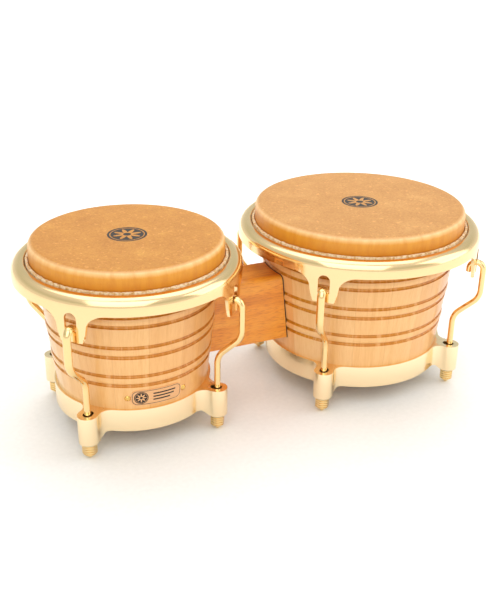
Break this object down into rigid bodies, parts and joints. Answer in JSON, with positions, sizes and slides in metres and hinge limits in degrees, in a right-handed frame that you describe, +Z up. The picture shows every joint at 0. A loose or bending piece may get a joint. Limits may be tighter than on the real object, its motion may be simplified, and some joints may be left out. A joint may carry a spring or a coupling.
{
  "type": "bongo drums",
  "caption": "Pair of tapered wooden bongo drums, one smaller, with hide heads, slotted tuning rims, hooked rods, cast bottom rings and a wooden centre block.",
  "frame": {"origin": "middle of the plane that the eight nut tips stand on, under the centre of the whole pair", "axes": "+X from the small drum to the large one, +Z up, the heads on top"},
  "size_m": [0.4984, 0.2578, 0.1954],
  "materials": {
    "stave_wood": "turned, clear satin lacquer",
    "block_wood": "planed and oiled red hardwood",
    "rawhide": "dried rawhide, drum tight",
    "hide_edge": "cut rawhide edge",
    "polished_gold": "polished and gold plated steel",
    "rod_gold": "gold plated steel rod",
    "nut_gold": "gold plated turned steel",
    "cast_gold": "gold plated casting, satin",
    "hoop_steel": "drawn wire",
    "washer_steel": "plain washer",
    "plate_steel": "zinc plated",
    "bolt_steel": "zinc plated",
    "gasket": "thin rubbered cork",
    "badge_plate": "printed and varnished",
    "badge_brass": "turned brass"
  },
  "bodies": {
    "root": {"small_shell": "stave_wood", "small_bottom_ring": "cast_gold", "small_head": "rawhide", "small_boss_washers": "washer_steel", "small_block_gasket": "gasket", "small_backing_plate": "plate_steel", "large_shell": "stave_wood", "large_bottom_ring": "cast_gold", "large_head": "rawhide", "large_boss_washers": "washer_steel", "large_block_gasket": "gasket", "large_backing_plate": "plate_steel", "centre_block": "block_wood", "block_bolts": "bolt_steel", "block_bolt_washers": "bolt_steel", "block_bolt_nuts": "bolt_steel", "badge_plate": "badge_plate", "badge_screws": "badge_brass"},
    "small_rim_set": {"small_rim": "polished_gold", "small_flesh_hoop": "hoop_steel", "small_hide_tuck": "hide_edge", "small_rod_1": "rod_gold", "small_rod_2": "rod_gold", "small_rod_3": "rod_gold", "small_rod_4": "rod_gold"},
    "small_nut_1": {"small_nut_1": "nut_gold"},
    "small_nut_2": {"small_nut_2": "nut_gold"},
    "small_nut_3": {"small_nut_3": "nut_gold"},
    "small_nut_4": {"small_nut_4": "nut_gold"},
    "large_rim_set": {"large_rim": "polished_gold", "large_flesh_hoop": "hoop_steel", "large_hide_tuck": "hide_edge", "large_rod_1": "rod_gold", "large_rod_2": "rod_gold", "large_rod_3": "rod_gold", "large_rod_4": "rod_gold"},
    "large_nut_1": {"large_nut_1": "nut_gold"},
    "large_nut_2": {"large_nut_2": "nut_gold"},
    "large_nut_3": {"large_nut_3": "nut_gold"},
    "large_nut_4": {"large_nut_4": "nut_gold"}
  },
  "joints": [
    {"name": "small_tuning", "type": "slide", "parent": "root", "child": "small_rim_set", "axis": [0, 0, 1], "range_m": [-0.004, 0.002]},
    {"name": "small_nut_1_turn", "type": "hinge", "parent": "root", "child": "small_nut_1", "pos_m": [-0.07166, 0.06604, 0.008], "axis": [0, 0, 1], "range_deg": [-590, 1170]},
    {"name": "small_nut_2_turn", "type": "hinge", "parent": "root", "child": "small_nut_2", "pos_m": [-0.20374, 0.06604, 0.008], "axis": [0, 0, 1], "range_deg": [-590, 1170]},
    {"name": "small_nut_3_turn", "type": "hinge", "parent": "root", "child": "small_nut_3", "pos_m": [-0.20374, -0.06604, 0.008], "axis": [0, 0, 1], "range_deg": [-590, 1170]},
    {"name": "small_nut_4_turn", "type": "hinge", "parent": "root", "child": "small_nut_4", "pos_m": [-0.07166, -0.06604, 0.008], "axis": [0, 0, 1], "range_deg": [-590, 1170]},
    {"name": "large_tuning", "type": "slide", "parent": "root", "child": "large_rim_set", "axis": [0, 0, 1], "range_m": [-0.004, 0.002]},
    {"name": "large_nut_1_turn", "type": "hinge", "parent": "root", "child": "large_nut_1", "pos_m": [0.19865, 0.07835, 0.008], "axis": [0, 0, 1], "range_deg": [-590, 1170]},
    {"name": "large_nut_2_turn", "type": "hinge", "parent": "root", "child": "large_nut_2", "pos_m": [0.04195, 0.07835, 0.008], "axis": [0, 0, 1], "range_deg": [-590, 1170]},
    {"name": "large_nut_3_turn", "type": "hinge", "parent": "root", "child": "large_nut_3", "pos_m": [0.04195, -0.07835, 0.008], "axis": [0, 0, 1], "range_deg": [-590, 1170]},
    {"name": "large_nut_4_turn", "type": "hinge", "parent": "root", "child": "large_nut_4", "pos_m": [0.19865, -0.07835, 0.008], "axis": [0, 0, 1], "range_deg": [-590, 1170]}
  ],
  "couplings": [
    {"joint": "small_nut_1_turn", "follows": "small_tuning", "rad_per_m": -5026.5},
    {"joint": "small_nut_2_turn", "follows": "small_tuning", "rad_per_m": -5026.5},
    {"joint": "small_nut_3_turn", "follows": "small_tuning", "rad_per_m": -5026.5},
    {"joint": "small_nut_4_turn", "follows": "small_tuning", "rad_per_m": -5026.5},
    {"joint": "large_nut_1_turn", "follows": "large_tuning", "rad_per_m": -5026.5},
    {"joint": "large_nut_2_turn", "follows": "large_tuning", "rad_per_m": -5026.5},
    {"joint": "large_nut_3_turn", "follows": "large_tuning", "rad_per_m": -5026.5},
    {"joint": "large_nut_4_turn", "follows": "large_tuning", "rad_per_m": -5026.5}
  ]
}
